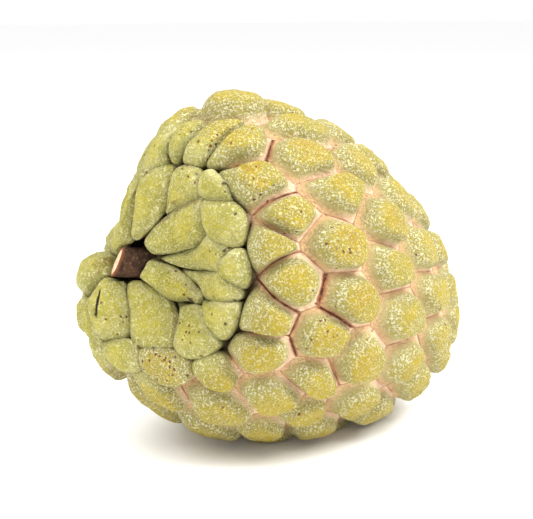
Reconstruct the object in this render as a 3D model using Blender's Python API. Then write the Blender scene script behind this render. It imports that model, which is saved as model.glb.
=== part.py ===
"""A custard apple lying on its side: one knobbly fruit of fused carpels, and its cut stalk.

Row frame: +X runs toward the blossom end, the stalk points to -X, +Z is up, and the fruit rests on Z = 0.
A place on the fruit is given by two angles in degrees: GAMMA from the stalk (0) to the tip (180), and
THETA around the fruit's axis, 0 on top, 90 on the -Y side, 180 underneath and 270 on the +Y side.
"""
import math

import bmesh
import bpy
import numpy as np

# --- the body: lengths in metres, angles in degrees, and the rest in fruit radii
FRUIT_RADIUS = 0.0425        # half the width at the widest ring
ALONG_MIDDLE = 0.263         # the body's outline as harmonics of gamma: places along the axis...
ALONG_HARMONICS = (-1.154, 0.118)
OUT_HARMONICS = (0.93, 0.02, -0.013)     # ...and radii
PIT_DEPTH = 0.12             # the stalk stands in a pit of this depth
PIT_WIDTH = 8.0
NEAR_PIT = 20.0              # what is uneven evens out from here toward the pit
SHOULDER_PLACE = 38.0        # the shoulders round the pit are uneven
SHOULDER_WIDTH = 26.0
SHOULDER_RISE = (0.03, -0.08)            # cosine harmonics of theta that raise them
SHOULDER_RISE_SIDE = (0.06, -0.08)       # and sine harmonics
SHOULDER_SPREAD = 0.07       # they are wider on top
SHOULDER_SPREAD_SIDE = 0.16  # and on the -Y side
RIM_LOW = 0.19               # the rim of the pit is this much lower on the -Y side
RIM_PLACE = 19.0
RIM_WIDTH = 12.0
BELLY_RISE = 0.09            # the axis bends: the middle sits high
TIP_SAG = 0.16               # and the tip hangs
TIP_DRIFT = 0.02
AXIS_DIP = 13.0              # how far the tip end hangs below the stalk end as the fruit lies
UNDERSIDE_FULLNESS = 1.06    # the lower half is this much deeper than the upper half
REST_LEVEL = -0.985          # the underside flattens toward this height from the axis
REST_SOFTNESS = 0.08         # and starts to do so this far above it
REST_CUT = 0.0014            # height in metres at which the lowest knobs are pressed flat

# --- the stalk
STALK_LENGTH = 0.0088
STALK_BASE_RADIUS = 0.0038
STALK_TIP_RADIUS = 0.0034
STALK_DROOP = 5.0            # the stalk sags this much from the fruit's axis
STALK_CUT_FALL = 0.32        # the knife cut runs out below by this slope...
STALK_CUT_SKEW = 0.36        # ...and out toward -Y by this one
STALK_SIDES = 20
SEAT_GAP = 0.0003            # gap between the stalk's foot and the floor of its pit

# --- carpels: one continuous spiral from the stalk to the tip
FIRST_CARPEL = -75
LAST_EVEN_CARPEL = 45
TIP_CARPELS = 22
TURN = 137.2                 # turn from one carpel to the next
TURN_START = 88.0
GAMMA_START = 95.0           # where carpel 0 sits
GAMMA_STEP = 1.02            # rise from one carpel to the next
CROWDING = 11.0              # carpels crowd toward the -Y side by this much
SPIRAL_TILT = 8.0            # the spiral runs this far askew of the fruit's axis
PIT_CLEARANCE = 15.0         # the first carpels keep this far from the stalk
FLANK_FROM = 45.0            # past here the carpels...
FLANK_AFTER = 60.0
FLANK_ADVANCE = 3.2          # ...sit further toward the tip
FLANK_SPREAD = 6.0           # and spread round from the -Y side
FLANK_SPREAD_FROM = 80.0
TIP_LIMIT = 179.0            # the last carpel stays this side of the very tip
# carpels that grew out of line: number -> (shift around, shift toward the tip)
OUT_OF_LINE = {
    -75: (13, -8), -74: (-8, 0), -73: (3, -3), -72: (5, -10), -71: (-15, 0), -69: (0, -10), -68: (-2, -9),
    -65: (18, -12), -63: (-9, -2), -60: (-6, -4), -58: (-5, 5), -57: (-10, -5), -55: (-3, -7), -53: (-10, 3),
    -52: (5, -2), -50: (-7, -7), -47: (-8, -12), -45: (-14, 3), -42: (-2, -14), -40: (3, 6), -37: (-6, 0),
    -34: (0, 2), -32: (11, -9), -31: (-5, 0), -29: (5, -5), -26: (-5, -5), -24: (0, 5), -21: (0, -5),
    -18: (-5, 0), -16: (-5, 10), -13: (0, 5), -11: (0, -5), -3: (-5, 5), 3: (0, -5), 5: (0, 5), 8: (5, 0),
    11: (-5, -5), 16: (10, 0), 18: (-5, 0), 29: (5, 0), 42: (5, 0),
}
SQUEEZED_IN = (65.0, 66.0)   # one more carpel between two turns, at this gamma and theta

# --- how much room the carpels take
STALK_END_STRETCH = 1.45     # near the stalk they are longer than wide by this much
LARGEST_RING = 66.0          # they are largest round here
LARGEST_RING_WIDTH = 13.0
LARGEST_EXTRA = 0.015
# carpels larger or smaller than their neighbours, by number; 68 is the squeezed-in one
EXTRA = {
    -75: 0.004, -73: 0.004, -71: 0.004, -68: -0.014, -65: 0.013, -63: 0.004, -60: 0.003, -55: 0.003,
    -53: 0.006, -52: 0.007, -50: 0.009, -47: 0.003, -45: 0.012, -42: -0.002, -40: -0.003, -37: 0.006,
    -34: 0.006, -32: 0.008, -26: 0.004, 68: -0.008,
}
PIT_EXTRA = -0.018           # the bare floor of the pit takes part as if it were a carpel
SHARE_SHARPNESS = 9.0        # higher keeps the knobs' corners squarer
SHARE_TOP = 8.1
FACET_CUTS = 2               # facets along each side of a carpel's wedges
CORNER_MERGE = 0.03          # carpel corners closer than this meet in one point
ON_BORDER = 1e-6             # a lead smaller than this counts as lying on a border

# --- how the carpels stand out: knob height in metres at stations of gamma
KNOB_STATIONS = (0.0, 45.0, 70.0, 110.0, 150.0, 180.0)
KNOB_HEIGHTS = (0.0062, 0.0058, 0.0046, 0.0042, 0.0032, 0.0016)
KNOB_VARIATION = 0.0005      # knobs differ in height by about this much
# knobs that stand taller or lower than that, by number
TALLER = {-75: 0.0032, -71: -0.0006, -68: -0.0008, -65: 0.0010, -40: 0.0026}
CLOSING = 0.0060             # the knobs round the pit lean over it by this much
CLOSING_WIDTH = 19.0
CLOSING_STEEPNESS = 2.0
CLOSING_OPEN_SIDE = 0.8      # but this much less on one side
CLOSING_OPEN_TURN = 10.0
STALK_CLEARANCE = 0.0043     # and stay this far from the stalk's axis
FUSED_FROM = 43.0            # carpels stand apart up to here...
FUSED_AFTER = 53.0           # ...and are fused by broad valleys past here
WALL_SHARE = 0.58            # near the stalk a knob is this much a steep-walled block, and the rest a dome
WALL_POWER = 2.8
WALL_ROUNDNESS = 0.58
END_ROUND_FROM = 0.42        # the ends that point at the stalk are rounded off from here on
END_ROUND_WIDTH = 0.26
END_ROUND_DROP = 0.80
SLOPE_WIDTH = 0.40           # width of a fused knob's slope, as a part of its half width
SLOPE_SHARE = 0.64           # the slope makes this much of its height, and a low dome the rest
SHADE_SMOOTH_TO = 50.0       # edges sharper than this stay sharp
SEED = 7

# --- plain colours and roughness of the two materials
SKIN_COLOUR = (0.52, 0.50, 0.17)
SKIN_ROUGHNESS = 0.6
BARK_COLOUR = (0.10, 0.05, 0.03)
BARK_ROUGHNESS = 0.8


def spiral():
    """Return the (gamma, theta) of every carpel's middle, in degrees."""
    places = []
    last = LAST_EVEN_CARPEL + TIP_CARPELS
    tip_start = GAMMA_START + GAMMA_STEP * LAST_EVEN_CARPEL
    for number in range(FIRST_CARPEL, last + 1):
        turn = TURN * number + TURN_START
        gamma = GAMMA_START + GAMMA_STEP * number
        if number > LAST_EVEN_CARPEL:
            # round the tip the rings get short, so the spiral rises faster
            left = (last + 0.5 - number) / (TIP_CARPELS + 0.5)
            gamma = 180.0 - (180.0 - tip_start) * math.sqrt(left)
        gamma -= SPIRAL_TILT * math.sin(math.radians(gamma)) * math.sin(math.radians(turn))
        gamma = math.hypot(gamma, PIT_CLEARANCE)
        on_flank = min(max((gamma - FLANK_FROM) / (FLANK_AFTER - FLANK_FROM), 0.0), 1.0)
        on_flank *= math.sin(math.radians(gamma))
        gamma += FLANK_ADVANCE * on_flank
        theta = turn + CROWDING * math.cos(math.radians(turn))
        theta += FLANK_SPREAD * on_flank * math.sin(math.radians(theta - FLANK_SPREAD_FROM))
        around, along = OUT_OF_LINE.get(number, (0, 0))
        places.append((min(gamma + along, TIP_LIMIT), theta + around))
    return places + [SQUEEZED_IN]


def row(number):
    """Return a carpel's row in the arrays, whose row 0 is the floor of the pit."""
    return number - FIRST_CARPEL + 1


def room(gammas):
    """Return how much room the pit's floor and each carpel take, 1 being the usual."""
    sizes = 1.0 + LARGEST_EXTRA * np.exp(-((gammas - LARGEST_RING) / LARGEST_RING_WIDTH) ** 2)
    for number, extra in EXTRA.items():
        sizes[row(number)] += extra
    sizes[0] = 1.0 + PIT_EXTRA
    return sizes


def direction(gamma, theta):
    """Unit direction for a place: X toward the tip, Z up across the axis."""
    gamma = np.radians(gamma)
    theta = np.radians(theta)
    return np.stack([-np.cos(gamma), -np.sin(gamma) * np.sin(theta), np.sin(gamma) * np.cos(theta)], axis=-1)


def opened(gamma):
    """Return gamma with the stalk end opened up, so that cells cut there come out long."""
    half = np.tan(np.radians(np.clip(gamma, 0.0, 90.0)) / 2.0)
    return np.where(gamma < 90.0, np.degrees(2.0 * np.arctan(half ** (1.0 / STALK_END_STRETCH))), gamma)


def closed(gamma):
    """Undo opened."""
    half = np.tan(np.radians(np.clip(gamma, 0.0, 90.0)) / 2.0)
    return np.where(gamma < 90.0, np.degrees(2.0 * np.arctan(half ** STALK_END_STRETCH)), gamma)


def waves(function, angle, sizes):
    """Sum the harmonics of a sine or a cosine."""
    return sum(size * function((order + 1) * angle) for order, size in enumerate(sizes))


def envelope(gamma, theta):
    """Points of the smooth heart-shaped body that touches the tops of the knobs."""
    g = np.radians(gamma)
    t = np.radians(theta)
    along = ALONG_MIDDLE + waves(np.cos, g, ALONG_HARMONICS) + PIT_DEPTH * np.exp(-(gamma / PIT_WIDTH) ** 2)
    out = waves(np.sin, g, OUT_HARMONICS)
    shoulder = np.exp(-((gamma - SHOULDER_PLACE) / SHOULDER_WIDTH) ** 2) * np.clip(gamma / NEAR_PIT, 0.0, 1.0)
    along = along + shoulder * (waves(np.cos, t, SHOULDER_RISE) + waves(np.sin, t, SHOULDER_RISE_SIDE))
    out = out * (1.0 + shoulder * (SHOULDER_SPREAD * np.cos(t) + SHOULDER_SPREAD_SIDE * np.sin(t)))
    rim = np.exp(-((gamma - RIM_PLACE) / RIM_WIDTH) ** 2) * np.clip(gamma / NEAR_PIT, 0.0, 1.0)
    along = along + RIM_LOW * rim * np.clip(np.sin(t), 0.0, 1.0)
    tip = ((1.0 - np.cos(g)) / 2.0) ** 2
    up = out * np.cos(t)
    up = np.where(up < 0.0, UNDERSIDE_FULLNESS * up, up) + BELLY_RISE * np.sin(g) ** 2 - TIP_SAG * tip
    side = out * np.sin(t) + TIP_DRIFT * tip
    dip = math.radians(AXIS_DIP)
    x = along * math.cos(dip) + up * math.sin(dip)
    z = up * math.cos(dip) - along * math.sin(dip)
    # the underside has settled under the fruit's own weight
    settled = np.clip((z - REST_LEVEL + REST_SOFTNESS) / (2.0 * REST_SOFTNESS), 0.0, None)
    z = np.where(settled < 1.0, REST_LEVEL + REST_SOFTNESS * settled ** 2, z)
    return FRUIT_RADIUS * np.stack([x, -side, z], axis=-1)


def soft_step(value):
    """Return 0 to 1 with a soft start and end, for a value going from 0 to 1."""
    value = np.clip(value, 0.0, 1.0)
    return value * value * (3.0 - 2.0 * value)


def knob_profile(nearness, gamma):
    """Height of a knob, 0 in the groove and 1 on top, for nearness 0 at its border and 1 at its middle."""
    dome = 1.0 - (1.0 - nearness) ** 2
    wall = (1.0 - (1.0 - nearness) ** WALL_POWER) ** WALL_ROUNDNESS
    plump = WALL_SHARE * wall + (1.0 - WALL_SHARE) * dome
    broad = SLOPE_SHARE * soft_step(nearness / SLOPE_WIDTH) + (1.0 - SLOPE_SHARE) * dome
    fused = np.clip((gamma - FUSED_FROM) / (FUSED_AFTER - FUSED_FROM), 0.0, 1.0)
    return plump + (broad - plump) * fused


def carpel_cells(middles):
    """Return a bmesh on the unit sphere, one fan of wedges per carpel, with every border on mesh edges."""
    cells = bmesh.new()
    for middle in middles:
        cells.verts.new(middle)
    bmesh.ops.convex_hull(cells, input=cells.verts)
    cells.normal_update()
    hull_edges = cells.edges[:]
    facings = [face.normal.copy() for face in cells.faces]
    # every facet gets a point in it, and every edge is turned to join two of those points
    corners = bmesh.ops.poke(cells, faces=cells.faces)["verts"]
    bmesh.ops.rotate_edges(cells, edges=hull_edges)
    place_on_each(corners, facings)
    bmesh.ops.remove_doubles(cells, verts=corners, dist=CORNER_MERGE)
    bmesh.ops.subdivide_edges(cells, edges=cells.edges, cuts=FACET_CUTS, use_grid_fill=True)
    for vert in cells.verts:
        vert.co.normalize()
    return cells


def lead(closeness, own):
    """Return by how much each point is closer to its own carpel's middle than to every other one."""
    rows = np.arange(len(own))
    ahead = closeness[rows, own][:, None] - closeness
    ahead[rows, own] = np.inf
    return ahead


def fruit_mesh():
    """Return the fruit's bmesh in row axes, before it is set down, and the middle of the stalk's pit."""
    places = np.array([(0.0, 0.0)] + spiral())
    centres = direction(opened(places[:, 0]), places[:, 1])
    # the first middle isn't a carpel but the bare floor of the stalk's pit
    middles = centres * room(places[:, 0])[:, None]
    cells = carpel_cells(middles)
    ways = np.array([vert.co for vert in cells.verts])
    gamma = closed(np.degrees(np.arccos(np.clip(-ways[:, 0], -1.0, 1.0))))
    theta = np.degrees(np.arctan2(-ways[:, 1], ways[:, 2]))
    # nearness: 1 at the middle of a vertex's own carpel, 0 on the border with a neighbour
    closeness = ways @ middles.T
    own = closeness.argmax(axis=1)
    whole = lead(centres @ middles.T, np.arange(len(middles)))
    np.fill_diagonal(whole, 1.0)
    share = lead(closeness, own) / whole[own]
    nearness = np.clip(-np.log(np.exp(-SHARE_SHARPNESS * share).sum(axis=1)) / SHARE_TOP, 0.0, 1.0)
    profile = knob_profile(nearness, gamma)
    # the ends that point at the stalk are rounded off
    short_of = 1.0 - gamma / np.maximum(places[own, 0], 1.0)
    profile *= 1.0 - END_ROUND_DROP * soft_step((short_of - END_ROUND_FROM) / END_ROUND_WIDTH)
    pit_floor = closeness[:, 0] > closeness[:, 1:].max(axis=1) - ON_BORDER
    profile[pit_floor] = 0.0
    height = np.interp(gamma, KNOB_STATIONS, KNOB_HEIGHTS)
    variation = np.random.default_rng(SEED).uniform(-1.0, 1.0, len(middles)) * KNOB_VARIATION
    for number, taller in TALLER.items():
        variation[row(number)] += taller
    place_on_each(cells.verts, envelope(gamma, theta))
    cells.normal_update()
    normals = np.array([vert.normal for vert in cells.verts])
    rise = (height + variation[own]) * profile - height
    points = envelope(gamma, theta) + normals * rise[:, None]
    pit = points[0]
    points -= closing(points - pit, profile, gamma, theta)
    level = (points[pit_floor] - pit) @ stalk_axis()
    points[pit_floor] -= level[:, None] * stalk_axis()
    place_on_each(cells.verts, points)
    return cells, pit


def closing(from_pit, profile, gamma, theta):
    """How far the knobs round the stalk lean over its pit, as vectors away from the stalk's axis."""
    across = from_pit - (from_pit @ stalk_axis())[:, None] * stalk_axis()
    reach = np.linalg.norm(across, axis=1)
    open_side = np.clip(np.sin(np.radians(theta - CLOSING_OPEN_TURN)), 0.0, 1.0)
    lean = CLOSING * np.clip(profile * CLOSING_STEEPNESS, 0.0, 1.0) * np.exp(-(gamma / CLOSING_WIDTH) ** 2)
    lean = np.minimum(lean * (1.0 - CLOSING_OPEN_SIDE * open_side), np.maximum(reach - STALK_CLEARANCE, 0.0))
    return across * (lean / np.maximum(reach, 1e-9))[:, None]


def place_on_each(verts, points):
    """Move vertices to the given points."""
    for vert, point in zip(verts, points):
        vert.co = point


def stalk_axis():
    """Unit direction in which the stalk points away from the fruit."""
    rise = math.radians(AXIS_DIP - STALK_DROOP)
    return np.array([-math.cos(rise), 0.0, math.sin(rise)])


def stalk_mesh(foot):
    """Return the stalk's bmesh: a tapered stick that starts at foot and ends in a slanted cut."""
    stalk = bmesh.new()
    bmesh.ops.create_cone(stalk, cap_ends=True, segments=STALK_SIDES, radius1=STALK_BASE_RADIUS,
                          radius2=STALK_TIP_RADIUS, depth=STALK_LENGTH)
    along = stalk_axis()
    side = np.array([0.0, 1.0, 0.0])
    up = np.cross(side, along)
    for vert in stalk.verts:
        reach = vert.co.z + STALK_LENGTH / 2.0
        if vert.co.z > 0.0:
            reach -= STALK_CUT_FALL * vert.co.x + STALK_CUT_SKEW * vert.co.y
        vert.co = foot + along * reach + up * vert.co.x + side * vert.co.y
    return stalk


def press_flat(mesh, height):
    """Cut the mesh off below a height and close it with flat faces."""
    cut = bmesh.ops.bisect_plane(mesh, geom=mesh.verts[:] + mesh.edges[:] + mesh.faces[:], dist=1e-7,
                                 plane_co=(0.0, 0.0, height), plane_no=(0.0, 0.0, -1.0), clear_outer=True)
    rim = [item for item in cut["geom_cut"] if isinstance(item, bmesh.types.BMEdge)]
    bmesh.ops.holes_fill(mesh, edges=rim, sides=0)


def material(name, colour, roughness):
    """Return a plain Principled material."""
    skin = bpy.data.materials.new(name)
    skin.use_nodes = True
    shader = skin.node_tree.nodes["Principled BSDF"]
    shader.inputs["Base Color"].default_value = (*colour, 1.0)
    shader.inputs["Roughness"].default_value = roughness
    shader.inputs["Metallic"].default_value = 0.0
    return skin


def add_object(name, mesh, skin):
    """Put a finished bmesh in the scene as one named object."""
    data = bpy.data.meshes.new(name)
    mesh.to_mesh(data)
    mesh.free()
    data.materials.append(skin)
    data.shade_smooth()
    data.set_sharp_from_angle(angle=math.radians(SHADE_SMOOTH_TO))
    bpy.context.collection.objects.link(bpy.data.objects.new(name, data))


def build():
    """Build the fruit and its stalk, resting on Z = 0 with the box centred on the Z axis."""
    for item in list(bpy.data.objects):
        bpy.data.objects.remove(item, do_unlink=True)
    fruit, pit = fruit_mesh()
    foot = pit + SEAT_GAP * stalk_axis()
    lowest = min(vert.co.z for vert in fruit.verts)
    press_flat(fruit, lowest + REST_CUT)
    corners = np.array([vert.co for vert in fruit.verts])
    low, high = corners.min(axis=0), corners.max(axis=0)
    offset = np.array([-(low[0] + high[0]) / 2.0, -(low[1] + high[1]) / 2.0, -low[2]])
    bmesh.ops.translate(fruit, vec=offset, verts=fruit.verts)
    stalk = stalk_mesh(foot + offset)
    add_object("fruit", fruit, material("fruit_skin", SKIN_COLOUR, SKIN_ROUGHNESS))
    add_object("stalk", stalk, material("stalk_bark", BARK_COLOUR, BARK_ROUGHNESS))


build()
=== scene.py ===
import math

import bmesh
import bpy
import numpy as np
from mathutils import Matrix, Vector, noise


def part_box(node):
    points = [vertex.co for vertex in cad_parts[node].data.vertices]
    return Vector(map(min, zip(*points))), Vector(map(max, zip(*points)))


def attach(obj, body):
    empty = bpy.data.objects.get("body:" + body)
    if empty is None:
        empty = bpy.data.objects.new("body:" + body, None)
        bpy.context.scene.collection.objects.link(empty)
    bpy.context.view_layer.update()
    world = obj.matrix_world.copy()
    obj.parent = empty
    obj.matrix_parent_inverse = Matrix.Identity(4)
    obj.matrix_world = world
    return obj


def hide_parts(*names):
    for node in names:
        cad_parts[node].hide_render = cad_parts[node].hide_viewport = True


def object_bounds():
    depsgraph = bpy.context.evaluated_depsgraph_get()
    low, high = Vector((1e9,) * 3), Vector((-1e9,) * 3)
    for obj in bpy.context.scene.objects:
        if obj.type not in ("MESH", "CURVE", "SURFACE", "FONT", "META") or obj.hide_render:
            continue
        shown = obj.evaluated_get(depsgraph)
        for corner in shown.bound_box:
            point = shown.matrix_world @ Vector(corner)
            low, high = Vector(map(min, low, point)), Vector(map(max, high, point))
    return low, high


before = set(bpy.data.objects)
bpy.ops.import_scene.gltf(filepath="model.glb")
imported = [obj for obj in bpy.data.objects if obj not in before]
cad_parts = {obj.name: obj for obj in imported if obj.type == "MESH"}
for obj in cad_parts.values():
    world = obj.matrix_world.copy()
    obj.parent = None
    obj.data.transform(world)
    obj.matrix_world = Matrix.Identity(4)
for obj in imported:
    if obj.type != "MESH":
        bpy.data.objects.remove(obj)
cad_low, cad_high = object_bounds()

# ---------------------------------------------------------------- the table and the studio
# A plain white table top in a bright white room, with a broad soft light on either side, as
# small produce is usually lit. None of it belongs to the fruit.

TABLE_REACH = 6.0
TABLE_WHITE = (0.97, 0.97, 0.97, 1.0)
TABLE_ROUGHNESS = 0.7
TABLE_SHINE = 0.1
ROOM_WHITE = (1.0, 1.0, 1.0, 1.0)
ROOM_BRIGHTNESS = 1.0
SOFTBOX_WIDTH = 0.5
SOFTBOX_DISTANCE = 0.9
# name, azimuth and elevation in degrees, watts
SOFTBOXES = (("right_softbox", 40.0, 50.0, 11.5), ("left_softbox", -100.0, 55.0, 5.5))
CAMERA_AZIMUTH = -31.55
CAMERA_ELEVATION = 11.5
CAMERA_DISTANCE = 0.2976
CAMERA_LENS = 84.6
CAMERA_SENSOR = 36.0
CAMERA_NEAREST = 0.01
LOOK_OFF_MIDDLE = Vector((-0.0058, -0.0029, 0.0014))

bpy.context.scene.view_settings.view_transform = "Standard"
middle = (cad_low + cad_high) / 2.0


def put_in_scene(name, shape, material):
    """Turn a finished bmesh into an object of one material."""
    mesh = bpy.data.meshes.new(name)
    shape.to_mesh(mesh)
    shape.free()
    mesh.materials.append(material)
    made = bpy.data.objects.new(name, mesh)
    bpy.context.collection.objects.link(made)
    return made


white_paint = bpy.data.materials.new("white_paint")
white_paint.use_nodes = True
coat = white_paint.node_tree.nodes["Principled BSDF"]
coat.inputs["Base Color"].default_value = TABLE_WHITE
coat.inputs["Roughness"].default_value = TABLE_ROUGHNESS
coat.inputs["Specular IOR Level"].default_value = TABLE_SHINE
board = bmesh.new()
bmesh.ops.create_grid(board, x_segments=1, y_segments=1, size=TABLE_REACH)
table_top = put_in_scene("table_top", board, white_paint)

room = bpy.data.worlds.new("white_room")
room.use_nodes = True
room_walls = room.node_tree.nodes["Background"]
room_walls.inputs["Color"].default_value = ROOM_WHITE
room_walls.inputs["Strength"].default_value = ROOM_BRIGHTNESS
bpy.context.scene.world = room


def place_round(azimuth, elevation, distance, target):
    """The point that lies from a target toward an azimuth and an elevation in degrees."""
    turn = math.radians(azimuth)
    rise = math.radians(elevation)
    level = math.cos(rise)
    way = Vector((math.sin(turn) * level, -math.cos(turn) * level, math.sin(rise)))
    return target + distance * way


def aim(item, target):
    """Turn a light or a camera to look at a target."""
    item.rotation_euler = (target - item.location).to_track_quat("-Z", "Y").to_euler()


for name, azimuth, elevation, watts in SOFTBOXES:
    softbox = bpy.data.lights.new(name, "AREA")
    softbox.size = SOFTBOX_WIDTH
    softbox.energy = watts
    lamp = bpy.data.objects.new(name, softbox)
    bpy.context.collection.objects.link(lamp)
    lamp.location = place_round(azimuth, elevation, SOFTBOX_DISTANCE, middle)
    aim(lamp, middle)

view_point = middle + LOOK_OFF_MIDDLE
lens = bpy.data.cameras.new("camera")
lens.lens = CAMERA_LENS
lens.sensor_width = CAMERA_SENSOR
lens.clip_start = CAMERA_NEAREST
camera = bpy.data.objects.new("camera", lens)
bpy.context.collection.objects.link(camera)
camera.location = place_round(CAMERA_AZIMUTH, CAMERA_ELEVATION, CAMERA_DISTANCE, view_point)
aim(camera, view_point)
bpy.context.scene.camera = camera


# ---------------------------------------------------------------- the fruit
# A syncarp: carpels in one spiral from the stalk to the tip, grown together into a single
# body. Each shows as a knob with a waxy bloom on its green skin; near the stalk they stand
# apart, and on the flanks a bare pinkish valley joins them.

# where the carpels sit, as in the solid: angles in degrees, gamma from the stalk to the tip,
# theta round the axis with 0 on top and 90 on the -Y side
FIRST_CARPEL = -75
LAST_EVEN_CARPEL = 45
TIP_CARPELS = 22
LAST_CARPEL = LAST_EVEN_CARPEL + TIP_CARPELS
TURN = 137.2
TURN_START = 88.0
GAMMA_START = 95.0
GAMMA_STEP = 1.02
SPIRAL_TILT = 8.0
PIT_CLEARANCE = 15.0
CROWDING = 11.0              # carpels crowd toward the -Y side
FLANK_FROM = 45.0            # past here they sit further toward the tip and spread again
FLANK_OVER = 15.0
FLANK_ADVANCE = 3.2
FLANK_SPREAD = 6.0
FLANK_SPREAD_FROM = 80.0
TIP_LIMIT = 179.0
SQUEEZED_IN = (65.0, 66.0)   # one more carpel, number 68, between two turns
# carpels that grew out of line: number -> (shift around, shift toward the tip)
OUT_OF_LINE = {
    -75: (13, -8), -74: (-8, 0), -73: (3, -3), -72: (5, -10), -71: (-15, 0), -69: (0, -10),
    -68: (-2, -9), -65: (18, -12), -63: (-9, -2), -60: (-6, -4), -58: (-5, 5), -57: (-10, -5),
    -55: (-3, -7), -53: (-10, 3), -52: (5, -2), -50: (-7, -7), -47: (-8, -12), -45: (-14, 3),
    -42: (-2, -14), -40: (3, 6), -37: (-6, 0), -34: (0, 2), -32: (11, -9), -31: (-5, 0),
    -29: (5, -5), -26: (-5, -5), -24: (0, 5), -21: (0, -5), -18: (-5, 0), -16: (-5, 10),
    -13: (0, 5), -11: (0, -5), -3: (-5, 5), 3: (0, -5), 5: (0, 5), 8: (5, 0), 11: (-5, -5),
    16: (10, 0), 18: (-5, 0), 29: (5, 0), 42: (5, 0),
}


def spiral():
    """Return the (gamma, theta) of every carpel's middle, with the stalk's pit first."""
    places = [(0.0, 0.0)]
    tip_start = GAMMA_START + GAMMA_STEP * LAST_EVEN_CARPEL
    for number in range(FIRST_CARPEL, LAST_CARPEL + 1):
        turn = TURN * number + TURN_START
        gamma = GAMMA_START + GAMMA_STEP * number
        if number > LAST_EVEN_CARPEL:
            # round the tip the rings get short, so the spiral rises faster
            left = (LAST_CARPEL + 0.5 - number) / (TIP_CARPELS + 0.5)
            gamma = 180.0 - (180.0 - tip_start) * math.sqrt(left)
        gamma -= SPIRAL_TILT * math.sin(math.radians(gamma)) * math.sin(math.radians(turn))
        gamma = math.hypot(gamma, PIT_CLEARANCE)
        on_flank = min(max((gamma - FLANK_FROM) / FLANK_OVER, 0.0), 1.0)
        on_flank *= math.sin(math.radians(gamma))
        gamma += FLANK_ADVANCE * on_flank
        theta = turn + CROWDING * math.cos(math.radians(turn))
        theta += FLANK_SPREAD * on_flank * math.sin(math.radians(theta - FLANK_SPREAD_FROM))
        around, along = OUT_OF_LINE.get(number, (0, 0))
        places.append((min(gamma + along, TIP_LIMIT), theta + around))
    places.append(SQUEEZED_IN)
    return np.array(places)


def row(number):
    """Place of a carpel in the arrays below, whose row 0 is the pit."""
    return number - FIRST_CARPEL + 1


# the body, in fruit radii unless it says otherwise
FRUIT_RADIUS = 0.0425        # in metres, half the width at the widest ring
ALONG_MIDDLE = 0.263         # its outline as harmonics of gamma: places along the axis...
ALONG_WAVES = (-1.154, 0.118)
OUT_WAVES = (0.93, 0.02, -0.013)         # ...and radii
PIT_DEPTH = 0.12             # the stalk stands in a pit
PIT_WIDTH = 8.0              # this and the places and widths below are degrees of gamma
NEAR_PIT = 20.0              # what is uneven evens out from here toward the pit
SHOULDER_PLACE = 38.0        # the shoulders round the stalk are uneven
SHOULDER_WIDTH = 26.0
SHOULDER_RISE = (0.03, -0.08)            # cosine harmonics of theta that raise them
SHOULDER_RISE_SIDE = (0.06, -0.08)       # and sine harmonics
SHOULDER_SPREAD = 0.07       # they are wider on top
SHOULDER_SPREAD_SIDE = 0.16  # and on the -Y side
RIM_LOW = 0.19               # the rim of the pit is low on the -Y side
RIM_PLACE = 19.0
RIM_WIDTH = 12.0
BELLY_RISE = 0.09            # the axis bends: the middle sits high and the tip sags
TIP_SAG = 0.16
TIP_DRIFT = 0.02
AXIS_DIP = math.radians(13.0)
UNDERSIDE_FULLNESS = 1.06    # the lower half is this much deeper than the upper half
REST_LEVEL = -0.985          # the underside flattens toward this height from the axis
REST_SOFTNESS = 0.08
STALK_END_STRETCH = 1.45     # near the stalk carpels are longer than wide by this much


def direction(gamma, theta):
    """Unit direction for a place, with X toward the tip and Z up across the axis."""
    g, t = np.radians(gamma), np.radians(theta)
    return np.stack([-np.cos(g), -np.sin(g) * np.sin(t), np.sin(g) * np.cos(t)], axis=-1)


def stretched(gamma, power):
    """Gamma with the stalk end opened up by a power under 1, or drawn in by one over 1."""
    half = np.tan(np.radians(np.clip(gamma, 0.0, 90.0)) / 2.0)
    return np.where(gamma < 90.0, np.degrees(2.0 * np.arctan(half ** power)), gamma)


def waves(function, angle, sizes):
    """The sum of the harmonics of a sine or a cosine."""
    return sum(size * function(order * angle) for order, size in enumerate(sizes, start=1))


def bell(value, centre, width):
    """1 at the centre, falling softly to 0 on either side of it."""
    return np.exp(-((value - centre) / width) ** 2)


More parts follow.
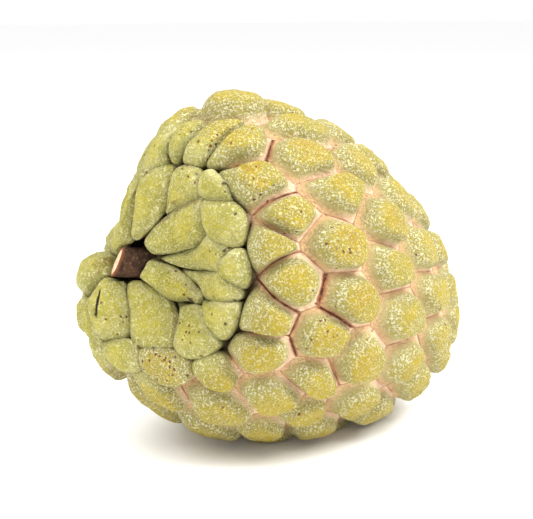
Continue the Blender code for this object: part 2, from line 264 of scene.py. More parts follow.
def envelope(gamma, theta):
    """Points of the smooth heart-shaped body that touches the tops of the knobs."""
    g, t = np.radians(gamma), np.radians(theta)
    along = ALONG_MIDDLE + waves(np.cos, g, ALONG_WAVES) + PIT_DEPTH * bell(gamma, 0.0, PIT_WIDTH)
    out = waves(np.sin, g, OUT_WAVES)
    off_pit = np.clip(gamma / NEAR_PIT, 0.0, 1.0)
    shoulder = bell(gamma, SHOULDER_PLACE, SHOULDER_WIDTH) * off_pit
    lift = waves(np.cos, t, SHOULDER_RISE) + waves(np.sin, t, SHOULDER_RISE_SIDE)
    along = along + shoulder * lift
    spread = SHOULDER_SPREAD * np.cos(t) + SHOULDER_SPREAD_SIDE * np.sin(t)
    out = out * (1.0 + shoulder * spread)
    rim = bell(gamma, RIM_PLACE, RIM_WIDTH) * off_pit
    along = along + RIM_LOW * rim * np.clip(np.sin(t), 0.0, 1.0)
    tip = ((1.0 - np.cos(g)) / 2.0) ** 2
    up = out * np.cos(t)
    up = np.where(up < 0.0, UNDERSIDE_FULLNESS * up, up)
    up = up + BELLY_RISE * np.sin(g) ** 2 - TIP_SAG * tip
    side = out * np.sin(t) + TIP_DRIFT * tip
    x = along * math.cos(AXIS_DIP) + up * math.sin(AXIS_DIP)
    z = up * math.cos(AXIS_DIP) - along * math.sin(AXIS_DIP)
    # the underside has settled under the fruit's own weight
    settled = np.clip((z - REST_LEVEL + REST_SOFTNESS) / (2.0 * REST_SOFTNESS), 0.0, None)
    z = np.where(settled < 1.0, REST_LEVEL + REST_SOFTNESS * settled ** 2, z)
    return FRUIT_RADIUS * np.stack([x, -side, z], axis=-1)


def unit(vectors):
    """The vectors made one long."""
    return vectors / (np.linalg.norm(vectors, axis=1)[:, None] + 1e-9)


def toward_tip(gamma, theta):
    """Unit directions along the body toward the tip."""
    return unit(envelope(np.minimum(gamma + 1.0, 180.0), theta) - envelope(gamma - 1.0, theta))


def soft_step(value):
    """0 to 1 with a soft start and end, for a value going from 0 to 1."""
    value = np.clip(value, 0.0, 1.0)
    return value * value * (3.0 - 2.0 * value)


def place_on_each(verts, points):
    """Move vertices to the given points."""
    for vert, point in zip(verts, points):
        vert.co = point


# how much room a carpel takes, 1 being the usual
LARGEST_RING = 66.0          # they are largest round here
LARGEST_RING_WIDTH = 13.0
LARGEST_EXTRA = 0.015
PIT_ROOM = 0.982             # the bare floor of the pit takes part as if it were a carpel
# carpels that take more or less room than their neighbours, by number
WIDER = {
    -75: 0.004, -73: 0.004, -71: 0.004, -68: -0.014, -65: 0.013, -63: 0.004, -60: 0.003,
    -55: 0.003, -53: 0.006, -52: 0.007, -50: 0.009, -47: 0.003, -45: 0.012, -42: -0.002,
    -40: -0.003, -37: 0.006, -34: 0.006, -32: 0.008, -26: 0.004, 68: -0.008,
}
SKIN_CUTS = 14               # every side of a wedge is cut this many times
CORNER_MERGE = 0.03          # carpel corners closer than this meet in one point

# the smooth body, cut into carpels: the middles' hull is poked at every facet and its edges
# are turned, which leaves a fan of wedges round each middle with the borders on mesh edges
places = spiral()
count = len(places)
room_taken = 1.0 + LARGEST_EXTRA * bell(places[:, 0], LARGEST_RING, LARGEST_RING_WIDTH)
for number, more in WIDER.items():
    room_taken[row(number)] += more
room_taken[0] = PIT_ROOM
opened = stretched(places[:, 0], 1.0 / STALK_END_STRETCH)
centres = direction(opened, places[:, 1])
middles = centres * room_taken[:, None]
skin = bmesh.new()
for spot in middles:
    skin.verts.new(spot)
bmesh.ops.convex_hull(skin, input=skin.verts)
skin.normal_update()
hull_edges = skin.edges[:]
facings = [facet.normal.copy() for facet in skin.faces]
corners = bmesh.ops.poke(skin, faces=skin.faces)["verts"]
bmesh.ops.rotate_edges(skin, edges=hull_edges)
place_on_each(corners, facings)
bmesh.ops.remove_doubles(skin, verts=corners, dist=CORNER_MERGE)
bmesh.ops.subdivide_edges(skin, edges=skin.edges, cuts=SKIN_CUTS, use_grid_fill=True)
for vert in skin.verts:
    vert.co.normalize()


def lead(closeness, own):
    """By how much each point is closer to its own carpel's middle than to every other one."""
    rows = np.arange(len(own))
    ahead = closeness[rows, own][:, None] - closeness
    ahead[rows, own] = np.inf
    return ahead


ROWS_DRAWN = -0.35           # how strongly the rows of skin are drawn toward the borders
NEARNESS_SHARPNESS = 9.0     # higher keeps the knobs' corners squarer
NEARNESS_TOP = 8.1
ON_BORDER = 1e-6             # a lead smaller than this counts as lying on a border

# nearness is 1 at a carpel's middle and falls evenly to 0 on its border; the rows of the
# mesh are drawn toward the borders, where the walls of the knobs are steep
ways = np.array([vert.co for vert in skin.verts])
closeness = ways @ middles.T
own = closeness.argmax(axis=1)
whole = lead(centres @ middles.T, np.arange(count))
np.fill_diagonal(whole, 1.0)
outer = 1.0 - np.clip((lead(closeness, own) / whole[own]).min(axis=1), 0.0, 1.0)
drawn = np.where(outer > 0.0, np.maximum(outer, 1e-9) ** ROWS_DRAWN, 1.0)[:, None]
ways = unit(centres[own] + (ways - centres[own]) * drawn)
ahead = lead(ways @ middles.T, own)
neighbour = ahead.argmin(axis=1)
blended = -np.log(np.exp(-NEARNESS_SHARPNESS * ahead / whole[own]).sum(axis=1))
nearness = np.clip(blended / NEARNESS_TOP, 0.0, 1.0)
apart = np.linalg.norm(middles[own] - middles[neighbour], axis=1)
edge = FRUIT_RADIUS * ahead.min(axis=1) / apart
opened = np.degrees(np.arccos(np.clip(-ways[:, 0], -1.0, 1.0)))
gamma = stretched(opened, STALK_END_STRETCH)
theta = np.degrees(np.arctan2(-ways[:, 1], ways[:, 2]))
base = envelope(gamma, theta)
place_on_each(skin.verts, base)
skin.normal_update()
outward = np.array([vert.normal for vert in skin.verts])

# each carpel's own middle and its two directions along the body; lengthwise runs from -1 at
# its stalk end to 1 at its tip end
hearts = envelope(places[:, 0], places[:, 1])
tipward = toward_tip(places[:, 0], places[:, 1])
sideways = unit(envelope(places[:, 0], places[:, 1] + 1.0)
                - envelope(places[:, 0], places[:, 1] - 1.0))
MM = 1000.0                  # millimetres in a metre
along_mm = ((base - hearts[own]) * tipward[own]).sum(axis=1) * MM
across_mm = ((base - hearts[own]) * sideways[own]).sum(axis=1) * MM
longest = np.zeros(count)
np.maximum.at(longest, own, along_mm)
shortest = np.zeros(count)
np.minimum.at(shortest, own, along_mm)
lengthwise = np.where(along_mm > 0.0, along_mm / np.maximum(longest, 0.001)[own],
                      -along_mm / np.minimum(shortest, -0.001)[own])

# how the carpels stand out: knob height in metres at stations of gamma
KNOB_STATIONS = (0.0, 45.0, 70.0, 110.0, 150.0, 180.0)
KNOB_HEIGHTS = (0.0062, 0.0058, 0.0046, 0.0042, 0.0032, 0.0016)
KNOB_VARIATION = 0.0005
# knobs that stand taller or lower than that, by number
TALLER = {-75: 0.0032, -71: -0.0006, -68: -0.0008, -65: 0.0010, -40: 0.0026}
FUSED_FROM = 43.0            # carpels stand apart up to here, and broad valleys join them past it
FUSED_OVER = 10.0
WALL_SHARE = 0.58            # a plump knob is this much a steep-walled block, and the rest a dome
WALL_POWER = 2.8
WALL_ROUNDNESS = 0.58
SLOPE_SHARE = 0.64           # a broad knob is this much slope, and the rest a dome
SLOPE_START = 0.03
SLOPE_WIDTH = 0.38
SLOPE_STEEPENING = 0.17      # its slope gets steeper toward its tip end
SLOPE_TAIL = 0.20            # and runs out wide toward the stalk
END_ROUND_FROM = 0.42        # the ends that point at the stalk are rounded off from here on
END_ROUND_WIDTH = 0.26
END_ROUND_DROP = 0.80
SWELL = 0.0012               # near the stalk a knob swells over its neighbours' edges
SWELL_PLACE = 0.18           # and does so most at this nearness
SWELL_FROM = 6.0             # but not in the pit, by gamma
SWELL_OVER = 12.0
LEAN = 0.0003                # every knob leans toward the tip
CLOSING = 0.0060             # the knobs round the pit lean over it by this much
CLOSING_WIDTH = 19.0
CLOSING_STEEPNESS = 2.0
CLOSING_OPEN_SIDE = 0.8      # but this much less on one side
CLOSING_OPEN_TURN = 10.0
STALK_CLEARANCE = 0.0043     # and stay this far from the stalk's axis
STALK_RISE = math.radians(8.0)           # the stalk points this much up from level
LUMP_WAVES = 420.0           # shallow lumps, with so many waves in a metre
LUMP_HEIGHT = 0.00052
LUMP_LOWERING = 0.00024      # they are this much lower on the flanks
FRACTAL_FADE = 0.8           # each finer octave is weaker by this, and finer by the next
FRACTAL_STEP = 2.0
KNOB_SEED = 7


def how_fused(gamma):
    """0 where the carpels stand apart near the stalk, and 1 where valleys join them."""
    return soft_step((gamma - FUSED_FROM) / FUSED_OVER)


# the knobs: plump near the stalk, and lower with one steep end toward the tip on the flanks
fused = how_fused(gamma)
pillow = 1.0 - (1.0 - nearness) ** 2
wall = (1.0 - (1.0 - nearness) ** WALL_POWER) ** WALL_ROUNDNESS
plump = WALL_SHARE * wall + (1.0 - WALL_SHARE) * pillow
slope_width = SLOPE_WIDTH - SLOPE_STEEPENING * lengthwise
slope_width += SLOPE_TAIL * np.clip(-lengthwise, 0.0, 1.0)
slope = soft_step((nearness - SLOPE_START) / slope_width)
broad = SLOPE_SHARE * slope + (1.0 - SLOPE_SHARE) * pillow
knob = plump + (broad - plump) * fused
short_of = 1.0 - gamma / np.maximum(places[own, 0], 1.0)
knob = knob * (1.0 - END_ROUND_DROP * soft_step((short_of - END_ROUND_FROM) / END_ROUND_WIDTH))
knob[own == 0] = 0.0
height = np.interp(gamma, KNOB_STATIONS, KNOB_HEIGHTS)
unevenness = np.random.default_rng(KNOB_SEED).uniform(-1.0, 1.0, count) * KNOB_VARIATION
for number, more in TALLER.items():
    unevenness[row(number)] += more
rise = (height + unevenness[own]) * knob - height

# near the stalk a knob swells over its neighbours' edges and over the stalk's pit
bulge = nearness / SWELL_PLACE
swell = SWELL * bulge * np.exp(1.0 - bulge) * (1.0 - fused)
swell *= np.clip((gamma - SWELL_FROM) / SWELL_OVER, 0.0, 1.0)
swell[own == 0] = 0.0
spread = base - hearts[own]
spread = unit(spread - (spread * outward).sum(axis=1)[:, None] * outward)
lean = LEAN * knob * np.sin(np.radians(gamma))
points = base + outward * rise[:, None]
points = points + toward_tip(gamma, theta) * lean[:, None] + spread * swell[:, None]
pit = points[0].copy()
stalk_way = np.array([-math.cos(STALK_RISE), 0.0, math.sin(STALK_RISE)])
from_axis = points - pit
from_axis -= (from_axis @ stalk_way)[:, None] * stalk_way
reach = np.linalg.norm(from_axis, axis=1)
closing = CLOSING * np.clip(knob * CLOSING_STEEPNESS, 0.0, 1.0) * bell(gamma, 0.0, CLOSING_WIDTH)
open_side = np.clip(np.sin(np.radians(theta - CLOSING_OPEN_TURN)), 0.0, 1.0)
closing *= 1.0 - CLOSING_OPEN_SIDE * open_side
closing = np.minimum(closing, np.maximum(reach - STALK_CLEARANCE, 0.0))
points -= unit(from_axis) * closing[:, None]
lumps = np.array([noise.fractal(Vector(point) * LUMP_WAVES, FRACTAL_FADE, FRACTAL_STEP, 2)
                  for point in points])
points += outward * (lumps * (LUMP_HEIGHT - LUMP_LOWERING * fused) * knob)[:, None]
floor_of_pit = (own == 0) | ((neighbour == 0) & (edge < ON_BORDER))
points[floor_of_pit] -= ((points[floor_of_pit] - pit) @ stalk_way)[:, None] * stalk_way
place_on_each(skin.verts, points)

# the skin has split along some of the borders, and a little along all of them
SPLITS = {
    (-21, 0): 1.0, (-13, 0): 1.0, (-34, -21): 0.8, (-34, -13): 0.6, (-37, 68): 0.7,
    (-29, -21): 0.5, (-37, -32): 0.8, (-32, -24): 0.8, (-42, -21): 0.7, (-50, 68): 0.6,
    (-26, -13): 0.7, (-5, 8): 0.6,
}
SMALL_SPLITS = 0.45
SPLIT_SEED = 11
splits = np.random.default_rng(SPLIT_SEED).uniform(0.0, SMALL_SPLITS, (count, count))
splits = np.minimum(splits, splits.T)
for (first, second), much in SPLITS.items():
    splits[row(first), row(second)] = much
    splits[row(second), row(first)] = much

# clusters of small dark dots: number -> (along, across, radius in mm, how many)
DOTS = {
    -52: (0.0, 0.0, 6.0, 1.0), -37: (1.5, 2.5, 3.0, 0.9), 68: (0.5, 0.5, 3.5, 0.8),
    -60: (1.5, 1.0, 5.0, 0.7), -66: (2.0, -1.0, 3.0, 0.8), -45: (-2.0, 2.0, 3.0, 0.8),
    -63: (3.0, 0.0, 3.0, 0.5), -68: (-1.0, -2.0, 3.5, 0.6), -13: (0.0, 0.0, 4.0, 0.5),
    -8: (0.0, 0.0, 4.0, 0.35), -53: (1.0, 0.0, 4.0, 0.4), -65: (2.0, -2.0, 3.0, 0.5),
}
DOTS_ANYWHERE = 0.14
dots = np.full(len(own), DOTS_ANYWHERE)
for number, (tip_mm, side_mm, radius_mm, much) in DOTS.items():
    away = np.hypot(along_mm - tip_mm, across_mm - side_mm)
    dots += np.where(own == row(number), much * bell(away, 0.0, radius_mm), 0.0)


def on_carpels(amounts):
    """An array with the given amounts for some carpels, by number, and 0 for the others."""
    values = np.zeros(count)
    for number, amount in amounts.items():
        values[row(number)] = amount
    return values


# one carpel is riper than its place, by so many degrees of gamma; some have an ochre scorch
# on the crest or rubbed brown edges, and one was nicked with the knife
ripeness = on_carpels({-52: 24.0})
scorched = on_carpels({
    -24: 0.9, -8: 1.0, -16: 0.4, 0: 0.7, 5: 0.5, -9: 0.8, 8: 0.4, -37: 0.8, 68: 0.5,
    -13: 0.4, -3: 0.3, -52: 0.5,
})
rubbed = on_carpels({-45: 1.0, -74: 1.0, -66: 0.6, -71: 0.5, -73: 0.4})
nicked = on_carpels({-65: 1.0})
# the painted groove shade on the shoulders is lighter round the stalk, within this gamma
NEAR_STALK = 14.0            # the grooves get lighter round the stalk, within this gamma
TONE_SEED = 3

# what the skin's colours follow
fields = {
    "knob_height": knob,
    "edge": edge * MM,
    "lengthwise": lengthwise,
    "along": along_mm,
    "across": across_mm,
    "style_end": longest[own],
    "fused": how_fused(gamma + ripeness[own]),
    "tone": np.random.default_rng(TONE_SEED).uniform(0.0, 1.0, count)[own],
    "split": splits[own, neighbour],
    "dots": dots,
    "scorched": scorched[own],
    "rubbed": rubbed[own],
    "nicked": nicked[own],
    "near_stalk": bell(gamma, 0.0, NEAR_STALK),
}
for name, values in fields.items():
    layer = skin.verts.layers.float.new(name)
    for vert, value in zip(skin.verts, values):
        vert[layer] = value

# the lowest knobs are pressed flat where the fruit lies, and the whole is set on the table
PRESSED_FLAT = 0.0014
lowest = points[:, 2].min() + PRESSED_FLAT
sliced = bmesh.ops.bisect_plane(
    skin, geom=skin.verts[:] + skin.edges[:] + skin.faces[:], dist=1e-7,
    plane_co=(0.0, 0.0, lowest), plane_no=(0.0, 0.0, -1.0), clear_outer=True)
rim = [item for item in sliced["geom_cut"] if isinstance(item, bmesh.types.BMEdge)]
bmesh.ops.holes_fill(skin, edges=rim, sides=0)
kept = np.array([vert.co for vert in skin.verts])
fruit_low, fruit_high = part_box("fruit")
set_down = (fruit_low + fruit_high) / 2.0 - Vector((kept.min(axis=0) + kept.max(axis=0)) / 2.0)
set_down.z = fruit_low.z - lowest
bmesh.ops.translate(skin, vec=set_down, verts=skin.verts)


class Value:
    """A socket of the material's nodes that is used like a number."""

    def __init__(self, tree, socket):
        self.tree = tree
        self.socket = socket

    def node(self, kind, inputs=(), output=0, **settings):
        """Add a node, set it up, feed it and return one of its outputs."""
        made = self.tree.nodes.new(kind)
        for name, setting in settings.items():
            setattr(made, name, setting)
        for key, source in dict(inputs).items():
            if isinstance(source, Value):
                self.tree.links.new(source.socket, made.inputs[key])
            else:
                made.inputs[key].default_value = source
        return Value(self.tree, made.outputs[output])

    def math(self, operation, *others):
        """Put this and any others through one Math node."""
        return self.node("ShaderNodeMath", dict(enumerate((self, *others))), operation=operation)

    def __add__(self, other):
        return self.math("ADD", other)

    __radd__ = __add__

    def __mul__(self, other):
        return self.math("MULTIPLY", other)

    __rmul__ = __mul__

    def __sub__(self, other):
        return self.math("SUBTRACT", other)

    def __rsub__(self, other):
        return self.node("ShaderNodeMath", {0: other, 1: self}, operation="SUBTRACT")

    def __truediv__(self, other):
        return self.math("DIVIDE", other)

    def between(self, start, end):
        """0 below start, 1 above end and a soft step between them."""
        inputs = {"Value": self, "From Min": start, "From Max": end}
        return self.node("ShaderNodeMapRange", inputs, interpolation_type="SMOOTHSTEP")

    def fading(self, start, end):
        """1 below start, 0 above end and a soft step between them."""
        return 1.0 - self.between(start, end)

    def swing(self, size):
        """Noise values as a swing about 0, by half of the size either way."""
        return (self - 0.5) * size

    def mix(self, first, second):
        """One colour where this is 0 and another where it is 1."""
        inputs = {0: self, 6: first, 7: second}
        return self.node("ShaderNodeMix", inputs, output=2, data_type="RGBA")

    def attribute(self, name):
        """A value that was written on the mesh."""
        return self.node("ShaderNodeAttribute", attribute_name=name, output=2)

    def noise(self, per_metre, detail=2.0, roughness=0.5):
        """Soft random values about 0.5 for this place, with so many waves in a metre."""
        inputs = {"Vector": self, "Scale": per_metre, "Detail": detail, "Roughness": roughness}
        return self.node("ShaderNodeTexNoise", inputs)

    def spots(self, per_metre, output=0):
        """Distance from the nearest of many scattered points, or with output 1 its colour."""
        inputs = {"Vector": self, "Scale": per_metre}
        return self.node("ShaderNodeTexVoronoi", inputs, output=output)

    def feed(self, shader, name):
        """Drive one of the shader's inputs."""
        self.tree.links.new(self.socket, shader.inputs[name])


def colour(red, green, blue):
    """An opaque colour."""
    return (red, green, blue, 1.0)


def start_material(name):
    """A new material, its Principled shader and the place on the object."""
    material = bpy.data.materials.new(name)
    material.use_nodes = True
    shader = material.node_tree.nodes["Principled BSDF"]
    coordinates = material.node_tree.nodes.new("ShaderNodeTexCoord")
    return material, shader, Value(material.node_tree, coordinates.outputs["Object"])


def finish_surface(shader, base, roughness, shine, relief, strength, depth):
    """Give a shader its colour, an even roughness and shine, and a relief, its depth in metres."""
    base.feed(shader, "Base Color")
    shader.inputs["Roughness"].default_value = roughness
    shader.inputs["Specular IOR Level"].default_value = shine
    inputs = {"Height": relief, "Strength": strength, "Distance": depth}
    relief.node("ShaderNodeBump", inputs).feed(shader, "Normal")


# colours of the skin, in pairs for the shoulders near the stalk and for the flanks
GREEN = (colour(0.30, 0.275, 0.036), colour(0.30, 0.250, 0.022))
YELLOW = (colour(0.50, 0.415, 0.010), colour(0.43, 0.315, 0.002))
WAX = (colour(0.68, 0.64, 0.33), colour(0.74, 0.70, 0.47))
# the cork on the shoulders is near black: partly cork, partly painted shade in the deep crevices
# between the knobs
CORK_AND_CREVICE_SHADE = (colour(0.040, 0.020, 0.008), colour(0.42, 0.150, 0.060))
# in pairs for the side of the stalk and for the side of the tip
FOOT = (colour(0.50, 0.40, 0.17), colour(0.76, 0.62, 0.36))
VALLEY = (colour(0.64, 0.42, 0.21), colour(0.86, 0.60, 0.40))
# and the rest: the painted groove shade is a pair for away from the stalk and beside it; on the
# shoulders the foot colour is painted shade, and the two rim colours are a painted highlight and
# painted shade
SHOULDER_FOOT_SHADE_PAINT = colour(0.135, 0.120, 0.035)
GROOVE_SHADE_PAINT = (colour(0.070, 0.048, 0.014), colour(0.17, 0.13, 0.045))
RIM_HIGHLIGHT_PAINT = colour(0.74, 0.68, 0.36)
RIM_SHADE_PAINT = colour(0.18, 0.18, 0.042)
SCORCH = colour(0.36, 0.175, 0.018)
OPEN_CRACK = colour(0.070, 0.018, 0.007)
STYLE_SCAR = colour(0.035, 0.018, 0.008)
PINHOLE = colour(0.13, 0.030, 0.008)
RUBBED_BROWN = colour(0.15, 0.050, 0.016)
NICK = colour(0.012, 0.008, 0.005)
# waves in a metre
FINE_GRAIN = 2300.0
COARSE_GRAIN = 900.0
SKIN_PATCHES = 170.0
RAGGED_EDGES = 420.0
PINHOLES = 800.0
SKIN_RELIEF = 620.0
# places and widths on a carpel in mm; a pair is where a mark begins to fade and where it ends
# the band along a shoulder knob's edge that takes the painted rim highlight and shade
RIM_LIGHT_BAND = (0.5, 2.2)
SCAR_SIZE = (0.16, 0.42)
SCAR_PLACE = 0.62            # a part of the way to the tip end
RUB_PLACE = 1.6              # in from the edge
RUB_SIZE = (0.16, 0.50)
NICK_ALONG = -0.8
NICK_ACROSS = 0.5
NICK_SLANT = 0.15
NICK_LENGTH = (1.6, 2.3)     # half of its length
NICK_WIDTH = (0.15, 0.40)    # half of its width

skin_material, skin_shader, place = start_material("fruit_skin")
edge_mm = place.attribute("edge")
high = place.attribute("knob_height")
along = place.attribute("along")
across = place.attribute("across")
ends = place.attribute("lengthwise")
flanks = place.attribute("fused")
tone = place.attribute("tone")
split = place.attribute("split")
near_stalk = place.attribute("near_stalk")
shoulders = 1.0 - flanks

# grains of pale wax on a yellow-green skin, thinner on the crests
fine = place.noise(FINE_GRAIN, 3.0, 0.60)
coarse = place.noise(COARSE_GRAIN, 2.0, 0.5)
patches = place.noise(SKIN_PATCHES, 2.0, 0.5)
ragged = place.noise(RAGGED_EDGES, 3.0, 0.6)
blotches = patches * 0.5 + ragged * 0.5
wax = (fine * 0.88 + coarse * 0.12).between(0.475, 0.555)
crest = high.between(0.60, 0.94)
yellowing = patches.between(0.34, 0.62) * (0.22 + crest * 0.34) + crest * 0.30
yellowing = yellowing + fine.swing(1.2) + tone * 0.14
flesh = yellowing.mix(flanks.mix(*GREEN), flanks.mix(*YELLOW))
bloom = (patches * 0.5 + coarse * 0.5).between(0.40, 0.62)
much_wax = (flanks * 0.12 + 0.56) * wax + shoulders * bloom * 0.30
much_wax = much_wax * (1.0 - crest * 0.40 - patches.between(0.42, 0.72) * 0.22)
much_wax = much_wax + (1.0 - crest) * 0.10
dome = much_wax.mix(flesh, flanks.mix(*WAX))
# near the stalk a knob's upper rim gets a painted pale highlight, and its lower one painted shade
# in a duller green
rim_light_and_shade_band = shoulders * (edge_mm + ragged.swing(0.8)).fading(*RIM_LIGHT_BAND)
painted_lit_side = across.fading(-2.0, 1.5)
dome = (rim_light_and_shade_band * painted_lit_side * 0.42).mix(dome, RIM_HIGHLIGHT_PAINT)
dome = (rim_light_and_shade_band * (1.0 - painted_lit_side) * 0.55).mix(dome, RIM_SHADE_PAINT)
scorch = place.attribute("scorched") * high.between(0.80, 0.99) * blotches.between(0.42, 0.60)
dome = (scorch * (0.75 - wax * 0.35)).mix(dome, SCORCH)

# on the flanks the foot of a knob is tan on the side of the stalk and cream on the side of the
# tip; on the shoulders the foot and the groove are painted shade, darkest deep between the plump
# knobs
level = high + ragged.swing(0.12)
tip_side = ends.between(-0.15, 0.35)
foot_colour_and_shade = flanks.mix(SHOULDER_FOOT_SHADE_PAINT, tip_side.mix(*FOOT))
valley_and_groove_shade = flanks.mix(near_stalk.mix(*GROOVE_SHADE_PAINT), tip_side.mix(*VALLEY))
skin_colour = (level + shoulders * 0.02).between(0.04, 0.22).mix(valley_and_groove_shade, foot_colour_and_shade)
skin_colour = (level + flanks * 0.06).between(0.24, 0.50).mix(skin_colour, dome)

# brown cork in the cracks between the carpels; on the shoulders every border gets a wider
# near-black line, which also paints the shade in the deep crevices
crack_width = split * 0.44 + 0.18 + shoulders * 0.14
frayed = edge_mm + ragged.swing(0.7) + fine.swing(0.3)
off_crack = frayed / crack_width
cork_line_and_crevice_shade = off_crack.fading(0.45, 1.15) * (flanks * (split * 0.5 - 0.52) + 0.92)
skin_colour = cork_line_and_crevice_shade.mix(skin_colour, flanks.mix(*CORK_AND_CREVICE_SHADE))
open_crack = off_crack.fading(0.10, 0.60) * (split * 1.1 + 0.15) * blotches.between(0.36, 0.52)
skin_colour = open_crack.mix(skin_colour, OPEN_CRACK)

# the scar of the flower's style: one small dark dot near the tip end of a carpel
off_style = along - place.attribute("style_end") * SCAR_PLACE
from_style = (off_style * off_style + across * across).math("SQRT")
scar = (from_style + fine.swing(0.25)).fading(*SCAR_SIZE)
scar = scar * tone.between(0.25, 0.45) * (0.85 - flanks * 0.45)
skin_colour = scar.mix(skin_colour, STYLE_SCAR)

# small dark marks, rubbed edges and the nick
pinholes = (place.spots(PINHOLES) + fine.swing(0.3)).fading(0.20, 0.36)
dotted = place.attribute("dots") * 0.66 - place.spots(PINHOLES, output=1)
skin_colour = (pinholes * dotted.between(-0.03, 0.03) * 0.9).mix(skin_colour, PINHOLE)
off_ridge = (edge_mm - RUB_PLACE + ragged.swing(1.6)).math("ABSOLUTE")
rub = place.attribute("rubbed") * off_ridge.fading(*RUB_SIZE)
rub = rub * (across + along * 0.35).fading(-1.5, 0.5)
rub = rub * (patches + ragged.swing(0.6)).between(0.36, 0.48)
skin_colour = (rub * 0.85).mix(skin_colour, RUBBED_BROWN)
off_nick = (across + along * NICK_SLANT + fine.swing(0.3) - NICK_ACROSS).math("ABSOLUTE")
nick = (along - NICK_ALONG).math("ABSOLUTE").fading(*NICK_LENGTH) * off_nick.fading(*NICK_WIDTH)
skin_colour = (nick * place.attribute("nicked")).mix(skin_colour, NICK)
finish_surface(skin_shader, skin_colour, roughness=0.66, shine=0.3,
               relief=place.noise(SKIN_RELIEF, 4.0, 0.62) * 0.8 + wax * 0.2,
               strength=0.9, depth=0.0019)

fruit = put_in_scene("fruit_skin", skin, skin_material)
fruit.data.shade_smooth()
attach(fruit, "root")
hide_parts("fruit")


# ---------------------------------------------------------------- the stalk
# The woody stalk the fruit hung by, cut off with a knife. Dark brown bark with pale pores
# round a pale wood, and it grows out of the pit at the fruit's stalk end.

STALK_LENGTH = 0.0088
STALK_FOOT_RADIUS = 0.0038
STALK_TIP_RADIUS = 0.0034
STALK_SIDES = 96
STALK_ROWS = 40
SEAT_GAP = 0.0003            # between its foot and the floor of the pit
CUT_FALL = 0.32              # the knife ran out low and to one side, by these slopes
CUT_SKEW = 0.36
BARK_SHRINK = 0.045          # how far the bark lies inside the full radius, as a part of it
FURROW_DEPTH = 0.045
FURROW_PACE = (2.6, 2.2)     # round the stalk and along it
PORE_DEPTH = 0.02
PORE_PACE = (6.0, 9.0)
SHARP_FROM = math.radians(40.0)

stick = bmesh.new()
bmesh.ops.create_cone(stick, cap_ends=True, segments=STALK_SIDES, radius1=STALK_FOOT_RADIUS,
                      radius2=STALK_TIP_RADIUS, depth=STALK_LENGTH)
caps = [facet for facet in stick.faces if len(facet.verts) > 4]
bmesh.ops.poke(stick, faces=caps)


def is_wall(line):
    """Whether an edge runs from the stalk's foot to its tip."""
    return abs(line.verts[0].co.z - line.verts[1].co.z) > STALK_LENGTH / 2.0


walls = [line for line in stick.edges if is_wall(line)]
bmesh.ops.subdivide_edges(stick, edges=walls, cuts=STALK_ROWS)


def bark_noise(turn, part, pace, octaves):
    """Noise that closes round the stalk, at one pace round it and another along it."""
    round_it, along_it = pace
    spot = Vector((math.cos(turn) * round_it, math.sin(turn) * round_it, part * along_it))
    return noise.fractal(spot, FRACTAL_FADE, FRACTAL_STEP, octaves)


from_cut = stick.verts.layers.float.new("from_cut")
from_pith = stick.verts.layers.float.new("from_pith")
stalk_across = Vector((0.0, 1.0, 0.0))
stalk_up = stalk_across.cross(Vector(stalk_way))
for vert in stick.verts:
    across_up, across_side = vert.co.x, vert.co.y
    reach = vert.co.z + STALK_LENGTH / 2.0
    out = math.hypot(across_up, across_side)
    part = reach / STALK_LENGTH
    vert[from_cut] = (STALK_LENGTH - reach) * MM
    vert[from_pith] = out * MM
    # shallow furrows and pores in the bark, worn to nothing toward the pith
    turn = math.atan2(across_side, across_up)
    furrow = FURROW_DEPTH * bark_noise(turn, part, FURROW_PACE, octaves=3)
    pore = PORE_DEPTH * bark_noise(turn, part, PORE_PACE, octaves=2)
    squeeze = 1.0 - (BARK_SHRINK + furrow + pore) * min(1.0, out / STALK_TIP_RADIUS)
    reach -= (CUT_FALL * across_up + CUT_SKEW * across_side) * part
    vert.co = Vector(pit) + set_down + Vector(stalk_way) * (reach + SEAT_GAP)
    vert.co += (stalk_up * across_up + stalk_across * across_side) * squeeze
bmesh.ops.recalc_face_normals(stick, faces=stick.faces)

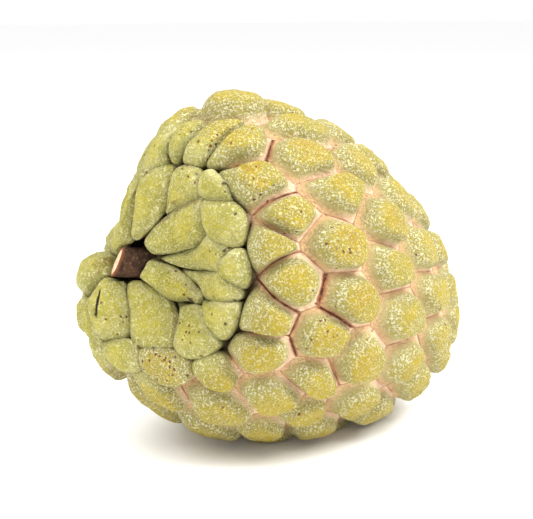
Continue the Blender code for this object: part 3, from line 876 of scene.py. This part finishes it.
# dark bark with lighter grain and pale pores, reddish at the cut, and wood with a soft pith
DARK_BARK = (colour(0.036, 0.018, 0.010), colour(0.080, 0.038, 0.020))
BARK_GRAIN = colour(0.16, 0.090, 0.052)
BARK_PORE = colour(0.26, 0.17, 0.10)
BARK_AT_CUT = colour(0.20, 0.070, 0.030)
PALE_WOOD = (colour(0.80, 0.46, 0.27), colour(0.90, 0.64, 0.42))
INNER_BARK = colour(0.26, 0.10, 0.045)
PITH = colour(0.62, 0.36, 0.20)
# waves in a metre
WOOD_GRAIN = 1500.0
BARK_CLOUDS = 420.0
BARK_PORES = 620.0
# in mm, from the cut or from the pith: where a colour begins to change and where it has
RED_BARK = (0.2, 0.9)
CUT_FACE = (0.01, 0.06)
WOOD_EDGE = (2.75, 3.05)
PITH_EDGE = (0.35, 0.75)

bark_material, bark_shader, place = start_material("stalk_bark")
depth = place.attribute("from_cut")
pith = place.attribute("from_pith")
grain = place.noise(WOOD_GRAIN, 3.0, 0.6)
cloud = place.noise(BARK_CLOUDS, 3.0, 0.6)
bark = cloud.between(0.40, 0.62).mix(*DARK_BARK)
bark = grain.between(0.58, 0.70).mix(bark, BARK_GRAIN)
pores = (place.spots(BARK_PORES) + cloud.swing(0.3)).fading(0.10, 0.26)
bark = (pores * 0.35).mix(bark, BARK_PORE)
bark = (depth + grain.swing(0.8)).fading(*RED_BARK).mix(bark, BARK_AT_CUT)
wood = grain.between(0.40, 0.62).mix(*PALE_WOOD)
wood = (pith + grain.swing(0.4)).between(*WOOD_EDGE).mix(wood, INNER_BARK)
wood = (pith + grain.swing(0.3)).fading(*PITH_EDGE).mix(wood, PITH)
stalk_colour = depth.fading(*CUT_FACE).mix(bark, wood)
finish_surface(bark_shader, stalk_colour, roughness=0.85, shine=0.25,
               relief=grain * 0.6 + cloud * 0.4, strength=0.8, depth=0.0006)

stalk = put_in_scene("stalk_bark", stick, bark_material)
stalk.data.shade_smooth()
stalk.data.set_sharp_from_angle(angle=SHARP_FROM)
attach(stalk, "root")
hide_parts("stalk")
